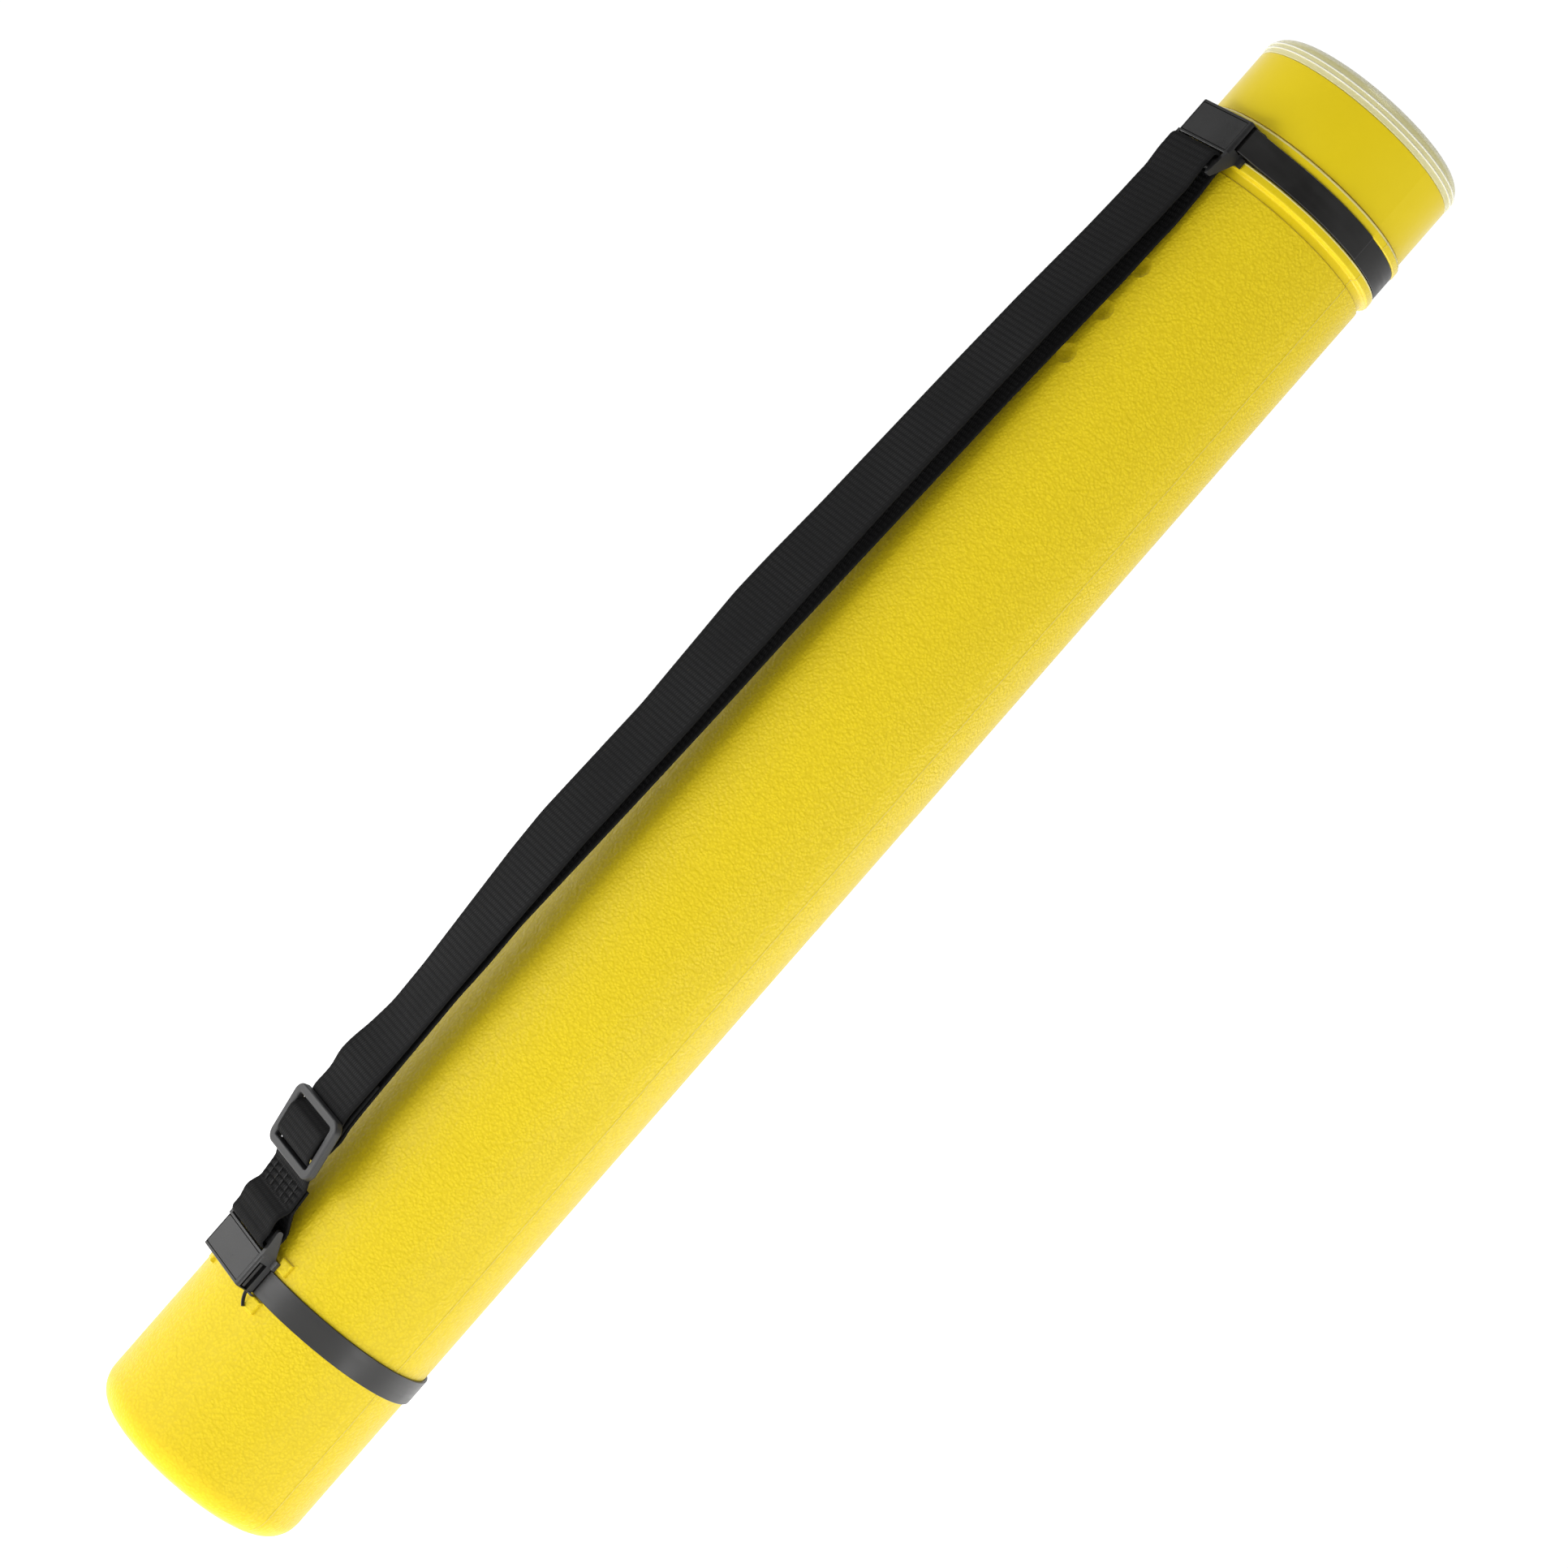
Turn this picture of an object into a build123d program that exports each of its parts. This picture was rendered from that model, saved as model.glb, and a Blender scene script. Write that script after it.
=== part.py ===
from build123d import *
import math
import os

# A telescopic drawing tube with a carrying strap, in millimetres.
# +Z runs up the tube and the origin is the centre of its flat closed base. The strap is on the -Y side.
# A bearing is an angle about the tube's axis, counted in degrees from -Y towards +X.

# Outer tube
TUBE_R = 42.5
TUBE_WALL = 1.3
FLOOR_THICKNESS = 1.8
BASE_ROUND = 11.0
TUBE_BORE_R = TUBE_R - TUBE_WALL

# Collar at the outer tube's mouth: a recess, then a band seat between two flanges
GRAIN_TOP = 573.0
RECESS_R = 41.9
FLANGE_R = 43.8
LOWER_FLANGE = (576.5, 580.1)
UPPER_FLANGE = (590.6, 594.3)
SEAT_R = 42.3

# Dimples pressed into the outer tube, which ride in the inner tube's channel and lock in its grooves
DIMPLE_BEARING = 14.5
DIMPLE_TOP_Z = 530.4
DIMPLE_COUNT = 3
DIMPLE_PITCH = 19.4
DIMPLE_R = 4.0
DIMPLE_DEPTH = 1.3

# Inner tube
SLIDING_GAP = 0.3
INNER_R = TUBE_BORE_R - SLIDING_GAP
INNER_WALL = 1.2
INNER_BOTTOM = 14.0
HEAD_R = 42.4
HEAD_BOTTOM = UPPER_FLANGE[1] + 0.4
HEAD_TOP = 620.0
NECK_R = 41.0
NECK_TOP = 624.8
CHANNEL_DEPTH = 1.5
CHANNEL_HALF_WIDTH = 4.75
GROOVE_HALF_HEIGHT = 4.5
GROOVE_ARC = 30.0
STOPS = 22

# Cap
CAP_CLEARANCE = 0.08
CAP_SEAT_GAP = 0.1
CAP_TOP = 629.0
CAP_ROUND = 6.0
CAP_WALL = 1.2
CAP_RIB_R = 0.35
CAP_RIB_HEIGHTS = (622.3, 624.3)

# Plastic bands
BAND_WIDTH = 10.0
BAND_THICKNESS = 1.1
BAND_CLEARANCE = 0.05
LOWER_BAND_Z = 72.85
UPPER_BAND_Z = 585.45
BAND_START = 6.0
BAND_TAIL_END = 90.0
BAND_EDGE = 0.25
BAND_END_ROUND = 0.6

# Square nubs that hold the lower band and its clip in place
NUB_SIZE = 5.0
NUB_R = 44.0
NUB_BEARING = 22.5
NUB_OFFSETS = (-7.9, 8.7)
NUB_SINK = 0.6
NUB_ROUND = 0.7

# Clips: a box round the band, with two arms that hold a bar for the webbing
CLIP_WIDTH = 29.0
CLIP_FACE_Y = -49.2
CLIP_BACK_Y = -39.0
CLIP_SEAT_R = 44.3
CLIP_Z = (-5.85, 8.65)
CLIP_SIDE_ROUND = 1.2
CLIP_FACE_ROUND = 0.6
FOOT_REACH = 1.4
FOOT_THICKNESS = 1.3
PASSAGE_Y = -46.0
PASSAGE_HEIGHT = 10.6
PASSAGE_GAP = 0.4
SIDE_WINDOW_DEPTH = 1.7
TOOTH_WELL = (5.5, 4.3)
BEND_X = -4.0
PANEL_INSET = 1.1
PANEL_GAP = 0.3
PANEL_THICKNESS = 1.15
PANEL_ROUND = 0.6
PAWL_HINGE_X = 12.7
TOOTH_PITCH = 3.0
TOOTH_WIDTH = 2.4
TOOTH_HALF_LENGTH = 3.8
TOOTH_CLEARANCE = 0.15
ARM_THICKNESS = 1.5
ARM_REACH = 9.2
ARM_ROOT_DEPTH = 1.0
ARM_BACK_Y = -43.0
ARM_TIP_Y = (-48.2, -50.3)
BAR_R = 48.2
BAR_OFFSET = 5.0
BAR_DEPTH = 3.2
BAR_HEIGHT = 4.8
BAR_ROUND = 1.5
RELEASE_TAIL = ((45.2, 16.8, -4.0), (45.0, 17.6, -7.0), (44.9, 20.8, -10.2))
RELEASE_TAIL_RADII = (0.75, 0.45)

# Webbing and slider
WEB_WIDTH = 25.0
WEB_THICKNESS = 1.2
SLIDER_SIZE = (33.0, 3.2, 23.5)
SLIDER_R = 58.55
SLIDER_Z = 121.0
SLIDER_TILT = 12.4
SLIDER_BAR = 3.2
SLIDER_MIDDLE_BAR = (1.5, 3.4)
SLIDER_MIDDLE_BAR_OUT = -0.95
SLIDER_SLOT_WIDTH = 26.0
SLIDER_CORNER = 4.0
SLIDER_EDGE = 0.8
SLOT_CORNER = 1.2
MIDDLE_BAR_EDGE = 0.7
BAR_SLACK = 1.0

# Sewn seams: each is a (radius, z) low end and high end on the outer layer's middle line
LOWER_SEAM = ((50.7, 97.6), (51.7, 106.6))
SLIDER_SEAM = ((56.93, 138.0), (57.38, 150.0))
SEAM_STEP = 1.42

# Corners of the webbing's route as (radius, z, bend radius), for its two layers above the slider
BACK_LAYER = (
    (57.2, 190, 80), (54.6, 300, 200), (51.0, 400, 200), (47.6, 490, 200), (43.9, 548, 30),
    (44.4, 562, 10),
)
FRONT_LAYER = (
    (50.6, 560, 20), (55.2, 475, 200), (60.5, 350, 200), (61.2, 240, 100), (60.4, 190, 80),
    (59.3, 160, 40),
)

# Corners of its route at the slider as (out, up, bend radius) in the slider's own plane
END_LOOP_IN = ((-3.9, 6.6, 2.5), (0.5, 2.2, 2), (0.5, -4.6, 1.4), (-2.4, -4.6, 1.4), (-5.6, 5, 8))
OVER_MIDDLE_BAR = (
    (-2.45, 13.5, 10), (-2.45, 8, 2), (1.95, 3.9, 2.5), (1.95, -5.3, 2.5), (-2.45, -8, 2), (-2.5, -12, 2.5),
)

# Threads of the sewn seams
THREAD_WIDTH = 0.7
THREAD_HEIGHT = 0.4
STITCH_LENGTH = 2.1
STITCH_PITCH = 2.6
STITCH_SPACING = 4.2


def polar(radius, bearing, z=0.0):
    """The point at a radius and bearing."""
    turn = math.radians(bearing)
    return Vector(radius * math.sin(turn), -radius * math.cos(turn), z)


def column(radius, bottom, top):
    """An upright cylinder on the tube's axis."""
    return Pos(0, 0, bottom) * Cylinder(radius, top - bottom, align=(Align.CENTER, Align.CENTER, Align.MIN))


def block(x, y, z):
    """A box between two limits along each axis."""
    centre = [(low + high) / 2 for low, high in (x, y, z)]
    return Pos(*centre) * Box(x[1] - x[0], y[1] - y[0], z[1] - z[0])


def turned(corners):
    """A solid turned about Z from the (radius, z, rounding) corners of its section."""
    points = [(radius, z) for radius, z, _ in corners]
    rounding = [rounded for _, _, rounded in corners]
    outline = Plane.XZ * FilletPolyline(*points, radius=rounding, close=True)
    return revolve(make_face(outline), Axis.Z)


def cutter_radius(depth, half_width):
    """The radius of a round cutter that leaves a hollow of this depth and half width."""
    return (depth ** 2 + half_width ** 2) / (2 * depth)


def outer_tube():
    """The outer tube with its closed base, collar, dimples and nubs."""
    tube = turned([
        (0, 0, 0),
        (TUBE_R, 0, BASE_ROUND),
        (TUBE_R, GRAIN_TOP, 0.3),
        (RECESS_R, GRAIN_TOP, 0.2),
        (RECESS_R, LOWER_FLANGE[0], 0.9),
        (FLANGE_R, LOWER_FLANGE[0], 0.9),
        (FLANGE_R, LOWER_FLANGE[1], 0.5),
        (SEAT_R, LOWER_FLANGE[1], 0.3),
        (SEAT_R, UPPER_FLANGE[0], 0.3),
        (FLANGE_R, UPPER_FLANGE[0], 0.5),
        (FLANGE_R, UPPER_FLANGE[1], 1.2),
        (TUBE_BORE_R, UPPER_FLANGE[1], 0.4),
        (TUBE_BORE_R, FLOOR_THICKNESS, BASE_ROUND - TUBE_WALL),
        (0, FLOOR_THICKNESS, 0),
    ])
    cutter = cutter_radius(DIMPLE_DEPTH, DIMPLE_R)
    centre_r = TUBE_R - DIMPLE_DEPTH + cutter
    inside = column(TUBE_BORE_R + 0.1, 0, DIMPLE_TOP_Z + DIMPLE_PITCH)
    for number in range(DIMPLE_COUNT):
        place = Location(polar(centre_r, DIMPLE_BEARING, DIMPLE_TOP_Z - number * DIMPLE_PITCH))
        tube += place * Sphere(cutter + TUBE_WALL) & inside
        tube -= place * Sphere(cutter)
    for bearing in (-NUB_BEARING, NUB_BEARING):
        for offset in NUB_OFFSETS:
            tube += nub(bearing, LOWER_BAND_Z + offset)
    return tube


def nub(bearing, z):
    """A square nub that stands on the outer tube, with a rounded face."""
    body = block((-NUB_SIZE / 2, NUB_SIZE / 2), (-NUB_R, -TUBE_R + NUB_SINK), (-NUB_SIZE / 2, NUB_SIZE / 2))
    body = fillet(body.faces().sort_by(Axis.Y)[0].edges(), NUB_ROUND)
    return Rot(0, 0, bearing) * Pos(0, 0, z) * body


def groove(z, extra):
    """The solid that presses one locking groove: a stretch of a ring, grown all over by extra."""
    cutter = cutter_radius(CHANNEL_DEPTH, GROOVE_HALF_HEIGHT)
    centre_r = INNER_R - CHANNEL_DEPTH + cutter
    margin = math.degrees(extra / INNER_R)
    section = Plane.XZ * Pos(centre_r, z) * Circle(cutter + extra)
    ring = revolve(section, Axis.Z, GROOVE_ARC + margin)
    return Rot(0, 0, DIMPLE_BEARING - 90) * ring


def channel(extra):
    """The solid that presses the long channel which the dimples slide along, grown by extra."""
    cutter = cutter_radius(CHANNEL_DEPTH, CHANNEL_HALF_WIDTH)
    travel = STOPS * DIMPLE_PITCH
    bottom = DIMPLE_TOP_Z - (DIMPLE_COUNT - 1) * DIMPLE_PITCH - travel - CHANNEL_HALF_WIDTH
    top = DIMPLE_TOP_Z + CHANNEL_HALF_WIDTH
    centre = polar(INNER_R - CHANNEL_DEPTH + cutter, DIMPLE_BEARING)
    return Pos(centre.X, centre.Y, 0) * column(cutter + extra, bottom - extra, top + extra)


def inner_tube():
    """The inner tube: a sliding body with a channel and locking grooves, a smooth head and a neck."""
    bore = INNER_R - INNER_WALL
    head_bore = HEAD_R - INNER_WALL
    neck_bore = NECK_R - INNER_WALL
    tube = turned([
        (bore, INNER_BOTTOM, 0.4),
        (INNER_R, INNER_BOTTOM, 0.4),
        (INNER_R, HEAD_BOTTOM, 0.3),
        (HEAD_R, HEAD_BOTTOM, 0.2),
        (HEAD_R, HEAD_TOP, 0.3),
        (NECK_R, HEAD_TOP, 0.2),
        (NECK_R, NECK_TOP, 1.0),
        (neck_bore, NECK_TOP, 0.15),
        (neck_bore, HEAD_TOP - INNER_WALL, 0.3),
        (head_bore, HEAD_TOP - INNER_WALL, 0.5),
        (head_bore, HEAD_BOTTOM + INNER_WALL, 0.5),
        (bore, HEAD_BOTTOM + INNER_WALL, 0.3),
    ])
    heights = [DIMPLE_TOP_Z - number * DIMPLE_PITCH for number in range(STOPS + DIMPLE_COUNT)]
    inside = column(bore + 0.1, INNER_BOTTOM, HEAD_BOTTOM)
    walls = channel(INNER_WALL)
    hollows = channel(0)
    for z in heights:
        walls += groove(z, INNER_WALL)
        hollows += groove(z, 0)
    return tube + (walls & inside) - hollows


def cap():
    """The press-on cap with two fine ribs round its skirt."""
    skirt_bore = NECK_R + CAP_CLEARANCE
    skirt_bottom = HEAD_TOP + CAP_SEAT_GAP
    body = turned([
        (0, CAP_TOP, 0),
        (HEAD_R, CAP_TOP, CAP_ROUND),
        (HEAD_R, skirt_bottom, 0.3),
        (skirt_bore, skirt_bottom, 0.2),
        (skirt_bore, CAP_TOP - CAP_WALL, CAP_ROUND - CAP_WALL - 0.2),
        (0, CAP_TOP - CAP_WALL, 0),
    ])
    for z in CAP_RIB_HEIGHTS:
        drop = max(0.0, z - (CAP_TOP - CAP_ROUND))
        radius = HEAD_R - CAP_ROUND + math.sqrt(CAP_ROUND ** 2 - drop ** 2)
        body += Pos(0, 0, z) * Torus(radius, CAP_RIB_R)
    return body


def tangent_bearing(radius, point, side):
    """The bearing at which a line through the point touches the circle, on the given side of it."""
    distance = math.hypot(point[0], point[1])
    bearing = math.degrees(math.atan2(point[0], -point[1]))
    return bearing + side * math.degrees(math.acos(radius / distance))


def band_path(seat_r, long_tail):
    """The middle line of a band: round the tube from under its clip, and back out through the clip."""
    ring_r = seat_r + BAND_CLEARANCE + BAND_THICKNESS / 2
    bend = (BEND_X, PASSAGE_Y)
    end = (CLIP_WIDTH / 2 + (0.4 if long_tail else -0.7), PASSAGE_Y)
    leave = tangent_bearing(ring_r, bend, -1)
    path = CenterArc((0, 0), ring_r, BAND_START - 90, 360 + leave - BAND_START)
    path += Line(path @ 1, bend)
    path += Line(bend, end)
    if long_tail:
        tail_r = ring_r + BAND_THICKNESS + 0.1
        land = tangent_bearing(tail_r, end, 1)
        path += Line(end, polar(tail_r, land))
        path += CenterArc((0, 0), tail_r, land - 90, BAND_TAIL_END - land)
    return path


def band(seat_r, z, long_tail, thickness=BAND_THICKNESS, width=BAND_WIDTH):
    """A flat plastic band, standing on edge round the tube."""
    strip = trace(band_path(seat_r, long_tail), line_width=thickness)
    return Pos(0, 0, z) * extrude(strip, width / 2, both=True)


def rounded_band(seat_r, z, long_tail):
    """A band with its long edges eased, and the outer edge of a long tail's end rounded."""
    strap = band(seat_r, z, long_tail)
    if long_tail:
        outer_r = seat_r + BAND_CLEARANCE + 2 * BAND_THICKNESS
        tail_end = polar(outer_r, BAND_TAIL_END, z)
        ends = strap.edges().filter_by(Axis.Z).sort_by(lambda edge: (edge.center() - tail_end).length)
        strap = fillet(ends[0], BAND_END_ROUND)
    faces = strap.faces().sort_by(Axis.Z)
    return fillet(faces[0].edges() + faces[-1].edges(), BAND_EDGE)


def panel_limits(gap):
    """The x and z limits of a clip's springy panel, or of its pocket when there is a gap."""
    x = (-CLIP_WIDTH / 2 + PANEL_INSET + PANEL_GAP - gap, PAWL_HINGE_X + gap / 2)
    z = (CLIP_Z[0] + PANEL_INSET + PANEL_GAP - gap, CLIP_Z[1] - PANEL_INSET - PANEL_GAP + gap)
    return x, z


def clip_bar():
    """The rounded bar that the webbing goes round."""
    z = CLIP_Z[1] + BAR_OFFSET
    half_width = CLIP_WIDTH / 2 - 0.5
    y = (-BAR_R - BAR_DEPTH / 2, -BAR_R + BAR_DEPTH / 2)
    bar = block((-half_width, half_width), y, (z - BAR_HEIGHT / 2, z + BAR_HEIGHT / 2))
    return fillet(bar.edges().filter_by(Axis.X), BAR_ROUND)


def clip_arm(side):
    """One slanted side arm between a clip's box and its bar."""
    root = CLIP_Z[1] - ARM_ROOT_DEPTH
    tip = CLIP_Z[1] + ARM_REACH
    outline = FilletPolyline(
        (ARM_BACK_Y, root), (ARM_BACK_Y, CLIP_Z[1]), (ARM_TIP_Y[0], tip), (ARM_TIP_Y[1], tip),
        (CLIP_FACE_Y, CLIP_Z[1]), (CLIP_FACE_Y, root), radius=[0, 1.0, 0.9, 0.9, 2.0, 0], close=True)
    arm = extrude(Plane.YZ * make_face(outline), ARM_THICKNESS)
    left = side * (CLIP_WIDTH / 2 - ARM_THICKNESS / 2) - ARM_THICKNESS / 2
    return Pos(left, 0, 0) * arm


def clip_box():
    """A clip's box: rounded outside, hollowed to the tube, with low feet that reach round the tube."""
    half = CLIP_WIDTH / 2
    foot = half + FOOT_REACH
    box = block((-half, half), (CLIP_FACE_Y, CLIP_BACK_Y), CLIP_Z)
    box = fillet(box.edges().filter_by(Axis.Z).group_by(Axis.Y)[0], CLIP_SIDE_ROUND)
    box = fillet(box.faces().sort_by(Axis.Y)[0].edges().filter_by(Axis.X), CLIP_FACE_ROUND)
    feet = block((-foot, foot), (CLIP_FACE_Y, CLIP_BACK_Y), CLIP_Z)
    feet &= column(CLIP_SEAT_R + FOOT_THICKNESS, *CLIP_Z)
    feet -= block((-foot, foot), (CLIP_FACE_Y, CLIP_BACK_Y), (-PASSAGE_HEIGHT / 2, PASSAGE_HEIGHT / 2))
    return box + feet - column(CLIP_SEAT_R, CLIP_Z[0] - 1, CLIP_Z[1] + 1)


def clip_body(seat_r, long_tail):
    """A clip's moulding about its band's middle height, with its arms and bar towards +Z."""
    half = CLIP_WIDTH / 2
    body = clip_box() + clip_bar() + clip_arm(-1) + clip_arm(1)
    passage = (-PASSAGE_HEIGHT / 2, PASSAGE_HEIGHT / 2)
    body -= band(seat_r, 0, long_tail, BAND_THICKNESS + 2 * PASSAGE_GAP, PASSAGE_HEIGHT)
    window_y = (PASSAGE_Y - SIDE_WINDOW_DEPTH, PASSAGE_Y + SIDE_WINDOW_DEPTH)
    body -= block((half - SIDE_WINDOW_DEPTH, half + 1), window_y, passage)
    panel_x, panel_z = panel_limits(PANEL_GAP)
    body -= block(panel_x, (CLIP_FACE_Y - 1, CLIP_FACE_Y + PANEL_THICKNESS + 0.1), panel_z)
    well_x, well_z = TOOTH_WELL
    body -= block((-well_x, well_x), (CLIP_FACE_Y, PASSAGE_Y), (-well_z, well_z))
    return body


def clip_pawl():
    """A clip's springy panel, which has teeth underneath that grip the band."""
    panel_x, panel_z = panel_limits(0)
    panel = block(panel_x, (CLIP_FACE_Y, CLIP_FACE_Y + PANEL_THICKNESS), panel_z)
    panel = fillet(panel.edges().filter_by(Axis.Y).group_by(Axis.X)[0], PANEL_ROUND)
    tip = PASSAGE_Y - BAND_THICKNESS / 2 - TOOTH_CLEARANCE
    root = CLIP_FACE_Y + PANEL_THICKNESS - 0.2
    for number in (-1, 0, 1):
        left = number * TOOTH_PITCH - TOOTH_WIDTH / 2
        right = left + TOOTH_WIDTH
        tooth = Polyline((left, root), (right, root), (right, tip), close=True)
        panel += extrude(make_face(tooth), TOOTH_HALF_LENGTH, both=True)
    return panel


def release_tail():
    """The thin curved tail under the lower clip's corner."""
    path = Spline(*[polar(*point) for point in RELEASE_TAIL])
    section = Plane(path @ 0, z_dir=path % 0) * Ellipse(*RELEASE_TAIL_RADII)
    return sweep(section, path)


def on_band(shape, z, upward):
    """A clip piece moved to its band, with its bar above or below it."""
    if upward:
        return Pos(0, 0, z) * shape
    return Pos(0, 0, z) * mirror(shape, Plane.XY)


def on_slider(out, up):
    """The (radius, z) of a point given outwards and up in the slider's own tilted plane."""
    tilt = math.radians(SLIDER_TILT)
    radius = SLIDER_R + out * math.cos(tilt) + up * math.sin(tilt)
    return radius, SLIDER_Z - out * math.sin(tilt) + up * math.cos(tilt)


def slider():
    """The three-bar slider."""
    width, depth, height = SLIDER_SIZE
    frame = Box(width, depth, height)
    frame = fillet(frame.edges().filter_by(Axis.Y), SLIDER_CORNER)
    opening = height - 2 * SLIDER_BAR
    window = fillet(Box(SLIDER_SLOT_WIDTH, depth + 2, opening).edges().filter_by(Axis.Y), SLOT_CORNER)
    frame -= window
    faces = frame.faces().sort_by(Axis.Y)
    frame = fillet(faces[0].edges() + faces[-1].edges(), SLIDER_EDGE)
    middle = Box(SLIDER_SLOT_WIDTH + 1, *SLIDER_MIDDLE_BAR)
    frame += Pos(0, -SLIDER_MIDDLE_BAR_OUT, 0) * fillet(middle.edges().filter_by(Axis.X), MIDDLE_BAR_EDGE)
    return Pos(0, -SLIDER_R, SLIDER_Z) * Rot(SLIDER_TILT, 0, 0) * frame


def webbing_route():
    """The webbing's (radius, z, bend radius) points, from its end on the slider to its other end."""
    upper_bar = UPPER_BAND_Z - CLIP_Z[1] - BAR_OFFSET
    lower_bar = LOWER_BAND_Z + CLIP_Z[1] + BAR_OFFSET
    wrap = BAR_SLACK + WEB_THICKNESS / 2
    bar_in = BAR_R - BAR_DEPTH / 2 - wrap
    bar_out = BAR_R + BAR_DEPTH / 2 + wrap
    reach = BAR_HEIGHT / 2 + wrap - 0.2
    end_loop = [(*SLIDER_SEAM[1], 1), (56.8, 133, 6)]
    end_loop += [(*on_slider(out, up), bend) for out, up, bend in END_LOOP_IN]
    end_loop += [(55.3, 133, 12), (SLIDER_SEAM[1][0] - SEAM_STEP, SLIDER_SEAM[1][1], 30)]
    upper_turn = [
        (bar_in, upper_bar - 3, 4), (bar_in, upper_bar + reach, 1.9), (bar_out, upper_bar + reach, 1.9),
        (bar_out, upper_bar - 4, 12),
    ]
    through_slider = [(*on_slider(out, up), bend) for out, up, bend in OVER_MIDDLE_BAR]
    lower_turn = [
        (*LOWER_SEAM[1], 2.5), (*LOWER_SEAM[0], 4), (53.0, 92.8, 5), (bar_out, lower_bar + 1, 3),
        (bar_out, lower_bar - reach, 1.9), (bar_in, lower_bar - reach, 1.9),
        (bar_in - 0.4, lower_bar + 3.5, 5), (LOWER_SEAM[0][0] - SEAM_STEP, LOWER_SEAM[0][1], 4),
        (LOWER_SEAM[1][0] - SEAM_STEP, LOWER_SEAM[1][1], 1),
    ]
    return end_loop + [*BACK_LAYER] + upper_turn + [*FRONT_LAYER] + through_slider + lower_turn


def strap_webbing():
    """The single length of webbing, as a flat ribbon of constant width, and its length."""
    route = webbing_route()
    points = [(-radius, z) for radius, z, _ in route]
    bends = [bend for _, _, bend in route[1:-1]]
    path = FilletPolyline(*points, radius=bends)
    ribbon = extrude(trace(path, line_width=WEB_THICKNESS), WEB_WIDTH / 2, both=True)
    return Rot(0, 90, 0) * Rot(0, 0, 90) * ribbon, path.length


def stitching(seam, columns):
    """Rows of thread on both faces of a seam, where two layers of webbing lie flat on each other."""
    (low_r, low_z), (high_r, high_z) = seam
    tilt = math.degrees(math.atan2(high_r - low_r, high_z - low_z))
    seam_length = math.hypot(high_r - low_r, high_z - low_z)
    thread = fillet(Box(THREAD_WIDTH, THREAD_HEIGHT, STITCH_LENGTH).edges(), THREAD_HEIGHT * 0.45)
    rows = int((seam_length - 1.0) // STITCH_PITCH)
    outer_face = WEB_THICKNESS / 2 + THREAD_HEIGHT / 2 + 0.05
    inner_face = outer_face + SEAM_STEP
    middle = ((low_r + high_r) / 2, (low_z + high_z) / 2)
    threads = []
    for column_number in range(columns):
        x = (column_number - (columns - 1) / 2) * STITCH_SPACING
        for row in range(rows):
            z = (row - (rows - 1) / 2) * STITCH_PITCH
            threads.append(Pos(x, -outer_face, z) * thread)
            threads.append(Pos(x, inner_face, z) * thread)
    place = Pos(0, -middle[0], middle[1]) * Rot(tilt, 0, 0)
    return Compound(children=[place * piece for piece in threads])


def main():
    """Build every piece and write one file for each."""
    webbing, webbing_length = strap_webbing()
    print("webbing length in mm:", round(webbing_length, 1))
    upper_clip = clip_body(SEAT_R, True)
    lower_clip = clip_body(TUBE_R, False) + release_tail()
    pieces = {
        "outer_tube": outer_tube(),
        "inner_tube": inner_tube(),
        "cap": cap(),
        "upper_band": rounded_band(SEAT_R, UPPER_BAND_Z, True),
        "lower_band": rounded_band(TUBE_R, LOWER_BAND_Z, False),
        "upper_clip_body": on_band(upper_clip, UPPER_BAND_Z, False),
        "lower_clip_body": on_band(lower_clip, LOWER_BAND_Z, True),
        "upper_clip_pawl": on_band(clip_pawl(), UPPER_BAND_Z, False),
        "lower_clip_pawl": on_band(clip_pawl(), LOWER_BAND_Z, True),
        "slider": slider(),
        "strap_webbing": webbing,
        "lower_stitching": stitching(LOWER_SEAM, 5),
        "slider_stitching": stitching(SLIDER_SEAM, 5),
    }
    os.makedirs("parts", exist_ok=True)
    for name, piece in pieces.items():
        piece.label = name
        export_step(piece, f"parts/{name}.step")


main()
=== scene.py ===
import math

import bpy
import numpy as np
from mathutils import Matrix, Vector


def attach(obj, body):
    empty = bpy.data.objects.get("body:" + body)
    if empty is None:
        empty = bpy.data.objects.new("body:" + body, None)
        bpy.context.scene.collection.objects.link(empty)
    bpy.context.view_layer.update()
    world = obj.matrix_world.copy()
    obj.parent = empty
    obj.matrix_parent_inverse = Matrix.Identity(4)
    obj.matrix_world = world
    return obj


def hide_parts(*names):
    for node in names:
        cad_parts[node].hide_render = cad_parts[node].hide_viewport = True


# A telescopic drawing tube with a webbing strap, standing on a pale floor.
# The frame is in metres, +Z runs up the tube and the strap is on the -Y side.

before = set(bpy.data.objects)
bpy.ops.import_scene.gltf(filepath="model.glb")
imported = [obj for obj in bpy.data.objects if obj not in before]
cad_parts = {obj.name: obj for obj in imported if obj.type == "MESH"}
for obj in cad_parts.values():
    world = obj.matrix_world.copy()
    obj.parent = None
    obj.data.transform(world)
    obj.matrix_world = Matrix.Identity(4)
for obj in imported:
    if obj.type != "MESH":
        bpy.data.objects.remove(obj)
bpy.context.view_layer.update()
MM = 0.001


# Camera ---------------------------------------------------------------------------------------------------

CAMERA_AZIMUTH = math.radians(49.5)
CAMERA_DISTANCE = 1.328
CAMERA_HEIGHT = 0.3092
TARGET_HEIGHT = 0.3174
CAMERA_ROLL = math.radians(41.19)
CAMERA_LENS = 87.0
SENSOR_WIDTH = 36.0
CLIP_START = 0.05
CLIP_END = 60.0


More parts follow.
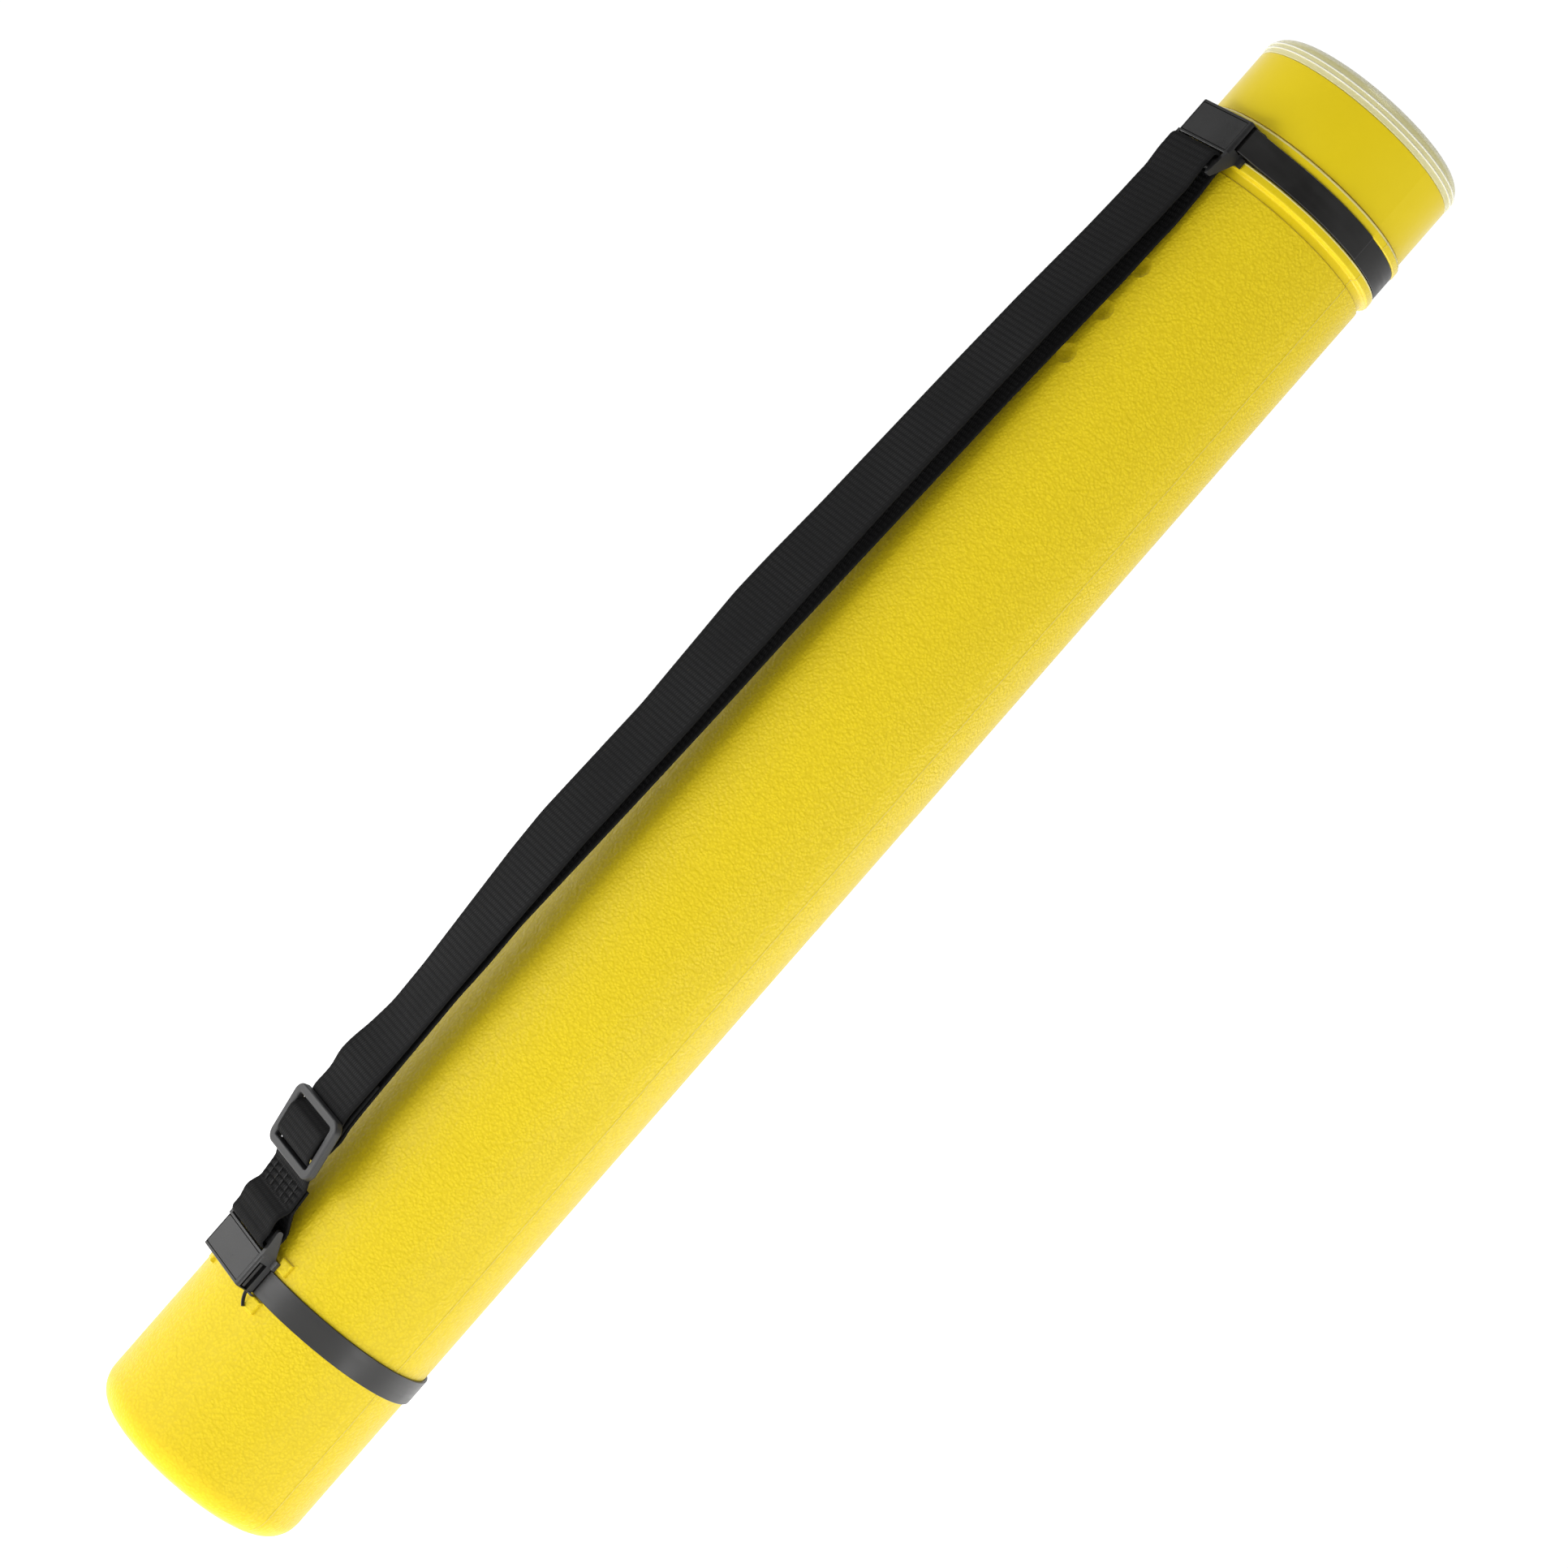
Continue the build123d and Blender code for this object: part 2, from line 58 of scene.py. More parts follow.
def side_and_front(azimuth):
    """The horizontal directions to the right of, and towards, a viewer at this azimuth."""
    right = Vector((math.cos(azimuth), math.sin(azimuth), 0))
    towards = Vector((math.sin(azimuth), -math.cos(azimuth), 0))
    return right, towards


def make_camera():
    right, towards = side_and_front(CAMERA_AZIMUTH)
    place = towards * CAMERA_DISTANCE + Vector((0, 0, CAMERA_HEIGHT))
    look = (Vector((0, 0, TARGET_HEIGHT)) - place).normalized()
    up = right.cross(look)
    cam_right = right * math.cos(CAMERA_ROLL) + up * math.sin(CAMERA_ROLL)
    cam_up = up * math.cos(CAMERA_ROLL) - right * math.sin(CAMERA_ROLL)
    turn = Matrix((cam_right, cam_up, -look)).transposed()
    camera = bpy.data.objects.new("camera", bpy.data.cameras.new("camera"))
    bpy.context.scene.collection.objects.link(camera)
    camera.matrix_world = Matrix.Translation(place) @ turn.to_4x4()
    camera.data.lens = CAMERA_LENS
    camera.data.sensor_width = SENSOR_WIDTH
    camera.data.clip_start = CLIP_START
    camera.data.clip_end = CLIP_END
    bpy.context.scene.camera = camera


# Node helpers ---------------------------------------------------------------------------------------------

class Tree:
    """A small builder for a material's nodes."""

    def __init__(self, name):
        self.material = bpy.data.materials.new(name)
        self.material.use_nodes = True
        self.nodes = self.material.node_tree.nodes
        self.links = self.material.node_tree.links
        self.shader = self.nodes["Principled BSDF"]

    def add(self, kind, inputs=None, **settings):
        """A new node with these settings, and its inputs set to values or linked to sockets."""
        node = self.nodes.new(kind)
        for key, value in settings.items():
            setattr(node, key, value)
        for key, value in (inputs or {}).items():
            self.put(node, key, value)
        return node

    def put(self, node, key, value):
        if isinstance(value, bpy.types.NodeSocket):
            self.links.new(value, node.inputs[key])
        else:
            node.inputs[key].default_value = value

    def math(self, operation, a, b=0.0, c=0.0):
        return self.add("ShaderNodeMath", {0: a, 1: b, 2: c}, operation=operation).outputs[0]

    def vector_math(self, operation, inputs, output="Vector"):
        return self.add("ShaderNodeVectorMath", inputs, operation=operation).outputs[output]

    def span(self, value, low, high, out_low=0.0, out_high=1.0, smooth=False):
        """A value carried over from the range low to high to the range out_low to out_high."""
        kind = "SMOOTHSTEP" if smooth else "LINEAR"
        inputs = {"Value": value, "From Min": low, "From Max": high, "To Min": out_low, "To Max": out_high}
        return self.add("ShaderNodeMapRange", inputs, interpolation_type=kind).outputs["Result"]

    def mix(self, share, a, b):
        """Colour a, changing to colour b as the share goes from 0 to 1."""
        node = self.add("ShaderNodeMix", data_type="RGBA")
        self.put(node, 0, share)
        self.put(node, 6, a)
        self.put(node, 7, b)
        return node.outputs[2]

    def place(self, scale=(1, 1, 1)):
        source = self.add("ShaderNodeTexCoord").outputs["Object"]
        return self.add("ShaderNodeMapping", {"Vector": source, "Scale": scale}).outputs["Vector"]

    def height(self, vector):
        return self.add("ShaderNodeSeparateXYZ", {0: vector}).outputs["Z"]

    def distance(self, value, centre):
        return self.math("ABSOLUTE", self.math("SUBTRACT", value, centre))

    def noise(self, vector, scale, detail=2.0, rough=0.5):
        inputs = {"Vector": vector, "Scale": scale, "Detail": detail, "Roughness": rough}
        return self.add("ShaderNodeTexNoise", inputs).outputs["Fac"]

    def bump(self, height, distance, strength=1.0, normal=None):
        inputs = {"Height": height, "Distance": distance, "Strength": strength}
        if normal is not None:
            inputs["Normal"] = normal
        return self.add("ShaderNodeBump", inputs).outputs["Normal"]

    def finish(self, **sockets):
        """The finished material, with the shader's sockets set; Base_Color stands for Base Color."""
        for key, value in sockets.items():
            self.put(self.shader, key.replace("_", " "), value)
        return self.material


def colour(r, g, b):
    return (r, g, b, 1.0)


def toned(base, tone):
    """A colour multiplied, channel by channel, by a tone."""
    return colour(*(channel * share for channel, share in zip(base, tone)))


# Yellow plastic -------------------------------------------------------------------------------------------

YELLOW = (0.77, 0.59, 0.010)
CLOUD_TONE = (0.93, 0.92, 0.8)
# Painted shade: the tone that darkens the grain's hollows
VALLEY_SHADE_TONE = (0.84, 0.80, 0.5)
# Painted highlight: the pale yellow laid along each flange rim
RIM_HIGHLIGHT_YELLOW = (0.95, 0.88, 0.45)

# The plastic's soft shine, and the pale sheen that it has where it is seen edge-on
YELLOW_FINISH = {
    "IOR": 1.5,
    "Specular_IOR_Level": 0.22,
    "Sheen_Weight": 0.5,
    "Sheen_Roughness": 0.32,
    "Sheen_Tint": colour(1.0, 0.94, 0.62),
}

GRAIN_BOTTOM = (0.3 * MM, 2.0 * MM)
GRAIN_TOP = (0.5729, 0.5731)
GRAIN_CELL = 1.1 * MM
GRAIN_BEND = 0.9 * MM
GRAIN_BUMP = 0.21 * MM
# Heights of the flange rims that carry the painted highlight
HIGHLIGHTED_RIM_HEIGHTS = (0.5798, 0.5937)

PARTING_BEARING = math.radians(100.2)
PARTING_SIDE = (math.cos(PARTING_BEARING), math.sin(PARTING_BEARING), 0)
PARTING_EDGES = (0.1 * MM, 0.5 * MM)
PARTING_HEIGHT = 1.2
PARTING_WANDER = 0.25 * MM

WAVE_SCALE = 300.0
WAVE_BUMP = 0.12 * MM


def clouded_yellow(tree, vector, strength):
    """The yellow plastic's slightly uneven colour."""
    share = tree.span(tree.noise(vector, 22.0, 3.0), 0.3, 0.7, 0.0, strength)
    return tree.mix(share, colour(*YELLOW), toned(YELLOW, CLOUD_TONE))


def leather_pebbles(tree, vector):
    """The raised cells of the leather grain, from 0 between them to 1 at their tops."""
    bent = tree.add("ShaderNodeTexNoise", {"Vector": vector, "Scale": 500.0, "Detail": 1.0}).outputs["Color"]
    offset = tree.vector_math("SCALE", {0: bent, "Scale": GRAIN_BEND})
    moved = tree.vector_math("ADD", {0: vector, 1: offset})
    inputs = {"Vector": moved, "Scale": 1 / GRAIN_CELL, "Smoothness": 0.6, "Randomness": 1.0}
    cells = tree.add("ShaderNodeTexVoronoi", inputs, feature="SMOOTH_F1")
    return tree.math("SUBTRACT", 1.0, cells.outputs["Distance"])


def grain_mask(tree, height):
    """1 on the grained wall and 0 on the smooth collar and the very foot."""
    below_collar = tree.span(height, *GRAIN_TOP, 1.0, 0.0)
    return tree.math("MULTIPLY", below_collar, tree.span(height, *GRAIN_BOTTOM))


def parting_line(tree, vector, coarse):
    """The faint raised line down each side, where the two halves of the mould met."""
    beside = tree.vector_math("DOT_PRODUCT", {0: vector, 1: PARTING_SIDE}, "Value")
    wander = tree.math("MULTIPLY_ADD", tree.math("SUBTRACT", coarse, 0.5), PARTING_WANDER, beside)
    return tree.span(tree.math("ABSOLUTE", wander), *PARTING_EDGES, PARTING_HEIGHT, 0.0, smooth=True)


def grained_yellow():
    """The outer tube: leather grain, darker in its hollows by painted shade, below a smooth, glossier collar
    with a painted highlight along each flange rim.
    """
    tree = Tree("grained_yellow_plastic")
    vector = tree.place()
    up = tree.height(vector)
    mask = grain_mask(tree, up)
    pebble = leather_pebbles(tree, vector)
    coarse = tree.noise(vector, 260.0, 1.0)
    grain = tree.math("MULTIPLY_ADD", tree.noise(vector, 1600.0), 0.25, pebble)
    grain = tree.math("MULTIPLY", tree.math("MULTIPLY_ADD", coarse, 0.5, grain), mask)
    normal = tree.bump(tree.math("ADD", grain, parting_line(tree, vector, coarse)), GRAIN_BUMP, 0.9)

    # Painted shade: the grain's hollows are darker and a deeper yellow
    valley_shade = tree.math("MULTIPLY", tree.span(pebble, 0.40, 0.72, 0.5, 0.0), mask)
    base = tree.mix(valley_shade, clouded_yellow(tree, vector, 0.5), toned(YELLOW, VALLEY_SHADE_TONE))
    # A painted highlight along each flange rim, as paler yellow in the base colour
    for rim in HIGHLIGHTED_RIM_HEIGHTS:
        near = tree.span(tree.distance(up, rim), 0.2 * MM, 0.5 * MM, 0.7, 0.0)
        base = tree.mix(near, base, colour(*RIM_HIGHLIGHT_YELLOW))

    collar_gloss = tree.span(mask, 0.0, 1.0, 0.18, 0.0)
    rough = tree.math("SUBTRACT", tree.span(coarse, 0.3, 0.7, 0.42, 0.52), collar_gloss)
    return tree.finish(Base_Color=base, Roughness=rough, Normal=normal, **YELLOW_FINISH)


def smooth_yellow():
    """The inner tube: smooth, with very slight waves."""
    tree = Tree("smooth_yellow_plastic")
    vector = tree.place()
    base = clouded_yellow(tree, vector, 0.8)
    normal = tree.bump(tree.noise(vector, WAVE_SCALE, 3.0), WAVE_BUMP, 0.6)
    rough = tree.span(tree.noise(vector, 70.0, 3.0), 0.3, 0.7, 0.30, 0.40)
    return tree.finish(Base_Color=base, Roughness=rough, Normal=normal, **YELLOW_FINISH)


# Cap ------------------------------------------------------------------------------------------------------

CAP_CREAM = ((0.94, 0.89, 0.50), (0.91, 0.86, 0.45))
# Painted light: a deeper yellow above the neck, for the neck's yellow light seen through the milky cap
CAP_NECK_GLOW_TINT = (0.92, 0.86, 0.42)
# Painted highlight: paler towards the cap's top edge, where the top light falls
CAP_RIM_HIGHLIGHT = (0.97, 0.95, 0.75)
# Painted highlight: the near-white line along each fine rib
CAP_RIB_HIGHLIGHT = (1.0, 1.0, 0.93)
CAP_RIB_HEIGHTS = (0.6223, 0.6243)
CAP_ALPHA = 0.62
NECK_TOP = 0.6248
CAP_TOP = 0.629


def cap_plastic():
    """Milky plastic that lets the yellow inside show through, with a painted highlight along each fine rib,
    a painted highlight towards the top edge and a painted yellow tint above the neck.
    """
    tree = Tree("milky_cap_plastic")
    vector = tree.place()
    up = tree.height(vector)
    cloud = tree.noise(vector, 60.0)
    base = tree.mix(tree.span(cloud, 0.3, 0.7), colour(*CAP_CREAM[0]), colour(*CAP_CREAM[1]))
    # A painted yellow tint above the neck, for the neck's light seen through the cap
    base = tree.mix(tree.span(up, NECK_TOP, NECK_TOP + 0.8 * MM), base, colour(*CAP_NECK_GLOW_TINT))
    # A painted highlight, paler towards the cap's top edge
    base = tree.mix(tree.span(up, CAP_TOP - 2.5 * MM, CAP_TOP), base, colour(*CAP_RIM_HIGHLIGHT))
    # A painted highlight along each fine rib
    for rib in CAP_RIB_HEIGHTS:
        near = tree.span(tree.distance(up, rib), 0.15 * MM, 0.4 * MM, 1.0, 0.0)
        base = tree.mix(near, base, colour(*CAP_RIB_HIGHLIGHT))
    rough = tree.span(tree.noise(vector, 120.0), 0.3, 0.7, 0.2, 0.3)
    normal = tree.bump(tree.noise(vector, 60.0, 1.0), 0.05 * MM, 0.3)
    return tree.finish(Base_Color=base, Roughness=rough, Normal=normal, IOR=1.45, Alpha=CAP_ALPHA)


# Dark plastics and thread ---------------------------------------------------------------------------------

BAND_BLACKS = ((0.0075, 0.007, 0.0066), (0.0105, 0.010, 0.0095))
CLIP_BLACKS = ((0.011, 0.011, 0.0112), (0.016, 0.016, 0.0163))
SLIDER_GREYS = ((0.021, 0.021, 0.0222), (0.028, 0.028, 0.0293))
THREAD_BLACKS = ((0.008, 0.008, 0.0082), (0.018, 0.018, 0.0183))
RUBBING_SCALE = (60, 60, 700)
RUBBING_DEPTH = 0.15


def dark_plastic(name, shades, roughness, texture_scale, texture_bump):
    """A black moulded plastic: a fine spark-eroded texture, uneven gloss and faint rubbing marks."""
    tree = Tree(name)
    vector = tree.place()
    cloud = tree.noise(vector, 90.0, 3.0)
    base = tree.mix(tree.span(cloud, 0.3, 0.7), colour(*shades[0]), colour(*shades[1]))
    normal = tree.bump(tree.noise(vector, texture_scale, 2.0, 0.6), texture_bump, 0.6)
    rubbed = tree.math("SUBTRACT", tree.noise(tree.place(RUBBING_SCALE), 1.0), 0.5)
    rough = tree.math("MULTIPLY_ADD", rubbed, RUBBING_DEPTH, tree.span(cloud, 0.3, 0.7, *roughness))
    return tree.finish(Base_Color=base, Roughness=rough, Normal=normal, IOR=1.5)


def thread_material():
    """Twisted black sewing thread."""
    tree = Tree("black_thread")
    vector = tree.place()
    inputs = {"Vector": tree.place((1, 1, 0.6)), "Scale": 900.0, "Distortion": 0.5}
    twist = tree.add("ShaderNodeTexWave", inputs, bands_direction="DIAGONAL").outputs["Fac"]
    base = tree.mix(tree.noise(vector, 700.0), colour(*THREAD_BLACKS[0]), colour(*THREAD_BLACKS[1]))
    normal = tree.bump(twist, 0.08 * MM, 0.8)
    rough = tree.span(tree.noise(vector, 400.0), 0.3, 0.7, 0.45, 0.6)
    return tree.finish(Base_Color=base, Roughness=rough, Normal=normal, Specular_IOR_Level=0.12)


# Webbing's look, with its dimensions in millimetres -------------------------------------------------------

WEB_WIDTH = 25.4
WEB_THICKNESS = 1.2
RIB_PITCH = 2.2
KNUCKLE_PITCH = 1.1
KNUCKLE_SLANT = 0.35
SELVAGE = 1.7
SEAM_Z = 102.1
SEAM_HALF = 4.8
STITCH_SPACING = 4.2
STITCH_PITCH = 2.6
WEAVE_BUMP = 0.18
PUCKER_BUMP = 0.8

# Painted shade: the weave's hollows are darker than its tops, whose tone varies at random
WEB_VALLEY_SHADE = (0.010, 0.010, 0.0102)
WEB_TOPS = ((0.016, 0.016, 0.0162), (0.024, 0.024, 0.0243))


def seam_puckers(tree, across):
    """The webbing's raised pillows between the threads of the lower seam."""
    from_seam = tree.math("SUBTRACT", tree.height(tree.place()), SEAM_Z * MM)
    near = tree.span(tree.math("ABSOLUTE", from_seam), (SEAM_HALF - 1) * MM, SEAM_HALF * MM, 1.0, 0.0)
    side = tree.math("SINE", tree.math("MULTIPLY", across, math.pi / (STITCH_SPACING * MM)))
    row = tree.math("COSINE", tree.math("MULTIPLY", from_seam, math.pi / (STITCH_PITCH * MM)))
    pillow = tree.math("MULTIPLY", tree.math("ABSOLUTE", side), tree.math("ABSOLUTE", row))
    return tree.math("MULTIPLY", pillow, near)


def weave(tree, across, along):
    """Rows of slanted warp knuckles across each rib, lower on the selvage."""
    row = tree.math("DIVIDE", along, RIB_PITCH * MM)
    shift = tree.math("MULTIPLY", tree.math("MODULO", tree.math("FLOOR", row), 2.0), 0.5)
    slant = tree.math("MULTIPLY", tree.math("FRACT", row), KNUCKLE_SLANT)
    column = tree.math("DIVIDE", across, KNUCKLE_PITCH * MM)
    column = tree.math("ADD", tree.math("ADD", column, shift), slant)
    knuckle = tree.math("ABSOLUTE", tree.math("SINE", tree.math("MULTIPLY", column, math.pi)))
    ridge = tree.math("ABSOLUTE", tree.math("SINE", tree.math("MULTIPLY", row, math.pi)))
    body_edge = WEB_WIDTH / 2 - SELVAGE
    body = tree.span(tree.math("ABSOLUTE", across), (body_edge - 0.3) * MM, body_edge * MM, 1.0, 0.3)
    return tree.math("MULTIPLY", tree.math("MULTIPLY", knuckle, ridge), body)


def webbing_material():
    """Black nylon webbing with a fine fuzz of fibres, and painted shade in the weave's hollows."""
    tree = Tree("black_webbing")
    uv = tree.add("ShaderNodeUVMap", uv_map="weave").outputs["UV"]
    parts = tree.add("ShaderNodeSeparateXYZ", {0: uv})
    across, along = parts.outputs["X"], parts.outputs["Y"]
    fibres = tree.add("ShaderNodeMapping", {"Vector": uv, "Scale": (9000.0, 1500.0, 1.0)}).outputs["Vector"]
    fuzz = tree.noise(fibres, 1.0)
    height = tree.math("MULTIPLY_ADD", fuzz, 0.2, weave(tree, across, along))
    normal = tree.bump(height, WEAVE_BUMP * MM, 0.9)
    normal = tree.bump(seam_puckers(tree, across), PUCKER_BUMP * MM, 1.0, normal)
    wear = tree.span(tree.noise(tree.place(), 30.0, 3.0), 0.35, 0.7)
    top = tree.mix(wear, colour(*WEB_TOPS[0]), colour(*WEB_TOPS[1]))
    # Painted shade: darker where the weave is low
    base = tree.mix(tree.span(height, 0.15, 1.0), colour(*WEB_VALLEY_SHADE), top)
    rough = tree.span(fuzz, 0.3, 0.7, 0.6, 0.75)
    return tree.finish(Base_Color=base, Roughness=rough, Normal=normal, IOR=1.5, Specular_IOR_Level=0.04)


# Webbing's shape, in millimetres --------------------------------------------------------------------------

SLIDER_R, SLIDER_Z, SLIDER_TILT = 58.55, 121.0, math.radians(12.4)
CLIP_BAR_IN, CLIP_BAR_OUT = 45.0, 51.4
UPPER_BAR_Z, LOWER_BAR_Z = 571.8, 86.5
BAR_REACH = 3.8
LOWER_SEAM_ENDS = ((50.7, 97.6), (51.7, 106.6))
SLIDER_SEAM_TOP = (57.38, 150.0)
SEAM_STEP = 1.42
LINE_STEP = 0.5
RIB_SAMPLES = 4
TWIST_REACH = 20

# Heights between which the front and back layers follow the strap's lie, and how far they ease into it
FRONT_LIE = (136, 558, 14)
BACK_LIE = (200, 545, 25)

# In the slider the webbing spreads to fill the slot
SLOT_SPREAD = 0.014
SLOT_REACH = (104, 138, 4)

# The webbing's cross-section: its columns, and how its face is rounded and ribbed
HALF_COLUMNS = (0.0, 2.7, 5.4, 8.0, 10.4, 10.9, 11.4, 12.1, 12.5, 12.7)
EDGE_ROUND, EDGE_RUN = 0.42, 0.5
BODY_LIFT, BODY_RUN = 0.02, 0.6
RIB_HEIGHT, SELVAGE_RIB_HEIGHT, RIB_MEAN = 0.18, 0.06, 0.65

# The strap's lie is given by two short tables, smoothed over this many line steps
EASE_WINDOW = 25

# The front layer's outer face at its left and right edge, as (z, radius, radius), and their spacing
EDGE_SPACING = 25.0
FRONT_EDGES = (
    (135, 59.0, 59.4), (140, 58.7, 59.6), (144, 60.2, 59.6), (149, 61.4, 59.6), (155, 60.8, 59.6),
    (162, 59.2, 59.6), (173, 57.9, 59.8), (190, 58.6, 60.3), (239, 62.8, 60.6), (256, 63.6, 60.8),
    (306, 61.8, 59.1), (356, 63.5, 58.4), (372, 62.7, 58.3), (397, 60.8, 58.0), (464, 57.3, 56.1),
    (497, 55.3, 54.7), (530, 52.6, 52.7), (563, 50.8, 50.8),
)

# The back layer's outer face, as (z, radius)
BACK_FACE = (
    (200, 58.0), (206, 58.2), (223, 57.9), (281, 55.4), (322, 54.0), (356, 53.1),
    (464, 48.7), (530, 45.0), (545, 44.4),
)


def on_slider(out, up):
    """The (radius, z) of a point given outwards and up in the slider's own tilted plane."""
    radius = SLIDER_R + out * math.cos(SLIDER_TILT) + up * math.sin(SLIDER_TILT)
    return radius, SLIDER_Z - out * math.sin(SLIDER_TILT) + up * math.cos(SLIDER_TILT)


def slider_corners(corners):
    return [(*on_slider(out, up), bend) for out, up, bend in corners]


def end_loop():
    """Corners from the webbing's sewn end round the slider's middle bar and back up to the seam."""
    corners = [(*SLIDER_SEAM_TOP, 0), (56.8, 133, 6)]
    corners += slider_corners(((-3.9, 6.6, 2.5), (0.5, 2.2, 2), (0.5, -4.6, 1.4), (-2.4, -4.6, 1.4),
                               (-5.6, 5, 8)))
    return corners + [(55.3, 133, 12), (SLIDER_SEAM_TOP[0] - SEAM_STEP, SLIDER_SEAM_TOP[1], 30)]


def lower_turn():
    """Corners round the lower clip's bar and back up under the lower seam."""
    (low_r, low_z), (high_r, high_z) = LOWER_SEAM_ENDS
    corners = [(high_r, high_z, 2.5), (low_r, low_z, 4), (53.0, 92.8, 5), (CLIP_BAR_OUT, LOWER_BAR_Z + 1, 3)]
    corners += [(CLIP_BAR_OUT, LOWER_BAR_Z - BAR_REACH, 1.9), (CLIP_BAR_IN, LOWER_BAR_Z - BAR_REACH, 1.9)]
    corners += [(CLIP_BAR_IN - 0.4, LOWER_BAR_Z + 3.5, 5), (low_r - SEAM_STEP, low_z, 4)]
    return corners + [(high_r - SEAM_STEP, high_z, 0)]


def route_corners():
    """The webbing's (radius, z, bend radius) corners, from its end on the slider to its other end."""
    back = [(57.2, 190, 80), (54.6, 300, 200), (51.0, 400, 200), (47.6, 490, 200), (43.9, 548, 30),
            (44.4, 562, 10)]
    over = [(CLIP_BAR_IN, UPPER_BAR_Z - 3, 4), (CLIP_BAR_IN, UPPER_BAR_Z + BAR_REACH, 1.9),
            (CLIP_BAR_OUT, UPPER_BAR_Z + BAR_REACH, 1.9), (CLIP_BAR_OUT, UPPER_BAR_Z - 4, 12)]
    front = [(50.6, 560, 20), (55.2, 475, 200), (60.5, 350, 200), (61.2, 240, 100), (60.4, 190, 80),
             (59.3, 160, 40)]
    through = slider_corners(((-2.45, 13.5, 10), (-2.45, 8, 2), (1.95, 3.9, 2.5), (1.95, -6.1, 2.5),
                              (-2.35, -8, 2), (-2.5, -12, 2.5)))
    return end_loop() + back + over + front + through + lower_turn()


def rounded_line(corners, step):
    """Points along straight runs joined by arcs of each corner's bend radius."""
    points = [np.array(corners[0][:2], float)]
    for (x0, y0, _), (x1, y1, bend), (x2, y2, _) in zip(corners, corners[1:], corners[2:]):
        here = np.array((x1, y1), float)
        back = np.array((x0, y0), float) - here
        ahead = np.array((x2, y2), float) - here
        back /= np.linalg.norm(back)
        ahead /= np.linalg.norm(ahead)
        half = math.acos(max(-1.0, min(1.0, float(back @ ahead)))) / 2
        reach = bend / math.tan(half)
        middle = back + ahead
        centre = here + middle / np.linalg.norm(middle) * bend / math.sin(half)
        first, last = here + back * reach, here + ahead * reach
        start = math.atan2(*(first - centre)[::-1])
        sweep = math.atan2(*(last - centre)[::-1]) - start
        sweep = (sweep + math.pi) % (2 * math.pi) - math.pi
        count = max(2, int(abs(sweep) * bend / step))
        for k in range(count + 1):
            angle = start + sweep * k / count
            points.append(centre + bend * np.array((math.cos(angle), math.sin(angle))))
    points.append(np.array(corners[-1][:2], float))
    return np.array(points)


def even_steps(points, step):
    """The same line at even steps, and each point's distance along it."""
    gaps = np.linalg.norm(np.diff(points, axis=0), axis=1)
    points = points[np.concatenate(([True], gaps > 1e-6))]
    gaps = np.linalg.norm(np.diff(points, axis=0), axis=1)
    far = np.concatenate(([0.0], np.cumsum(gaps)))
    count = int(round(far[-1] / step))
    at = np.linspace(0, far[-1], count + 1)
    return np.stack([np.interp(at, far, points[:, k]) for k in range(points.shape[1])], 1), at


def smooth_table(rows, column, z):
    """A column of a table of heights, read at z and smoothed over a few millimetres."""
    heights = np.array([row[0] for row in rows], float)
    values = np.array([row[column] for row in rows], float)
    grid = np.arange(heights[0], heights[-1] + LINE_STEP, LINE_STEP)
    window = np.hanning(EASE_WINDOW)
    window /= window.sum()
    padded = np.pad(np.interp(grid, heights, values), EASE_WINDOW // 2, mode="edge")
    return np.interp(z, grid, np.convolve(padded, window, mode="valid"))


def fade(z, low, high, margin):
    """1 between low and high, fading to 0 over the margin inside each end."""
    share = np.clip(np.minimum(z - low, high - z) / margin, 0, 1)
    return share * share * (3 - 2 * share)


def webbing_line(step):
    """The webbing's middle line as (radius, z, twist), following the strap's lie on the tube."""
    line = even_steps(rounded_line(route_corners(), LINE_STEP / 2), LINE_STEP)[0]
    radius, z = line[:, 0].copy(), line[:, 1]
    front = np.arange(len(z)) > int(np.argmax(z))
    left, right = smooth_table(FRONT_EDGES, 1, z), smooth_table(FRONT_EDGES, 2, z)
    share = fade(z, *FRONT_LIE) * front
    radius += share * ((left + right) / 2 - WEB_THICKNESS / 2 - radius)
    twist = share * np.arcsin((left - right) / EDGE_SPACING)
    share = fade(z, *BACK_LIE) * ~front
    radius += share * (smooth_table(BACK_FACE, 1, z) - WEB_THICKNESS / 2 - radius)
    line, at = even_steps(np.stack([radius, z, twist * TWIST_REACH], 1), step)
    line[:, 2] /= TWIST_REACH
    return line, at


def face_offset(across, along):
    """How far the webbing's face stands off its middle line."""
    inside = WEB_WIDTH / 2 - abs(across)
    edge = min(1.0, max(0.0, inside / EDGE_RUN))
    body = min(1.0, max(0.0, (inside - SELVAGE) / BODY_RUN))
    rib = abs(math.sin(math.pi * along / RIB_PITCH)) - RIB_MEAN
    ribs = rib * (RIB_HEIGHT * body + SELVAGE_RIB_HEIGHT * (1 - body))
    return WEB_THICKNESS / 2 - EDGE_ROUND * (1 - edge) ** 2 + BODY_LIFT * body + ribs


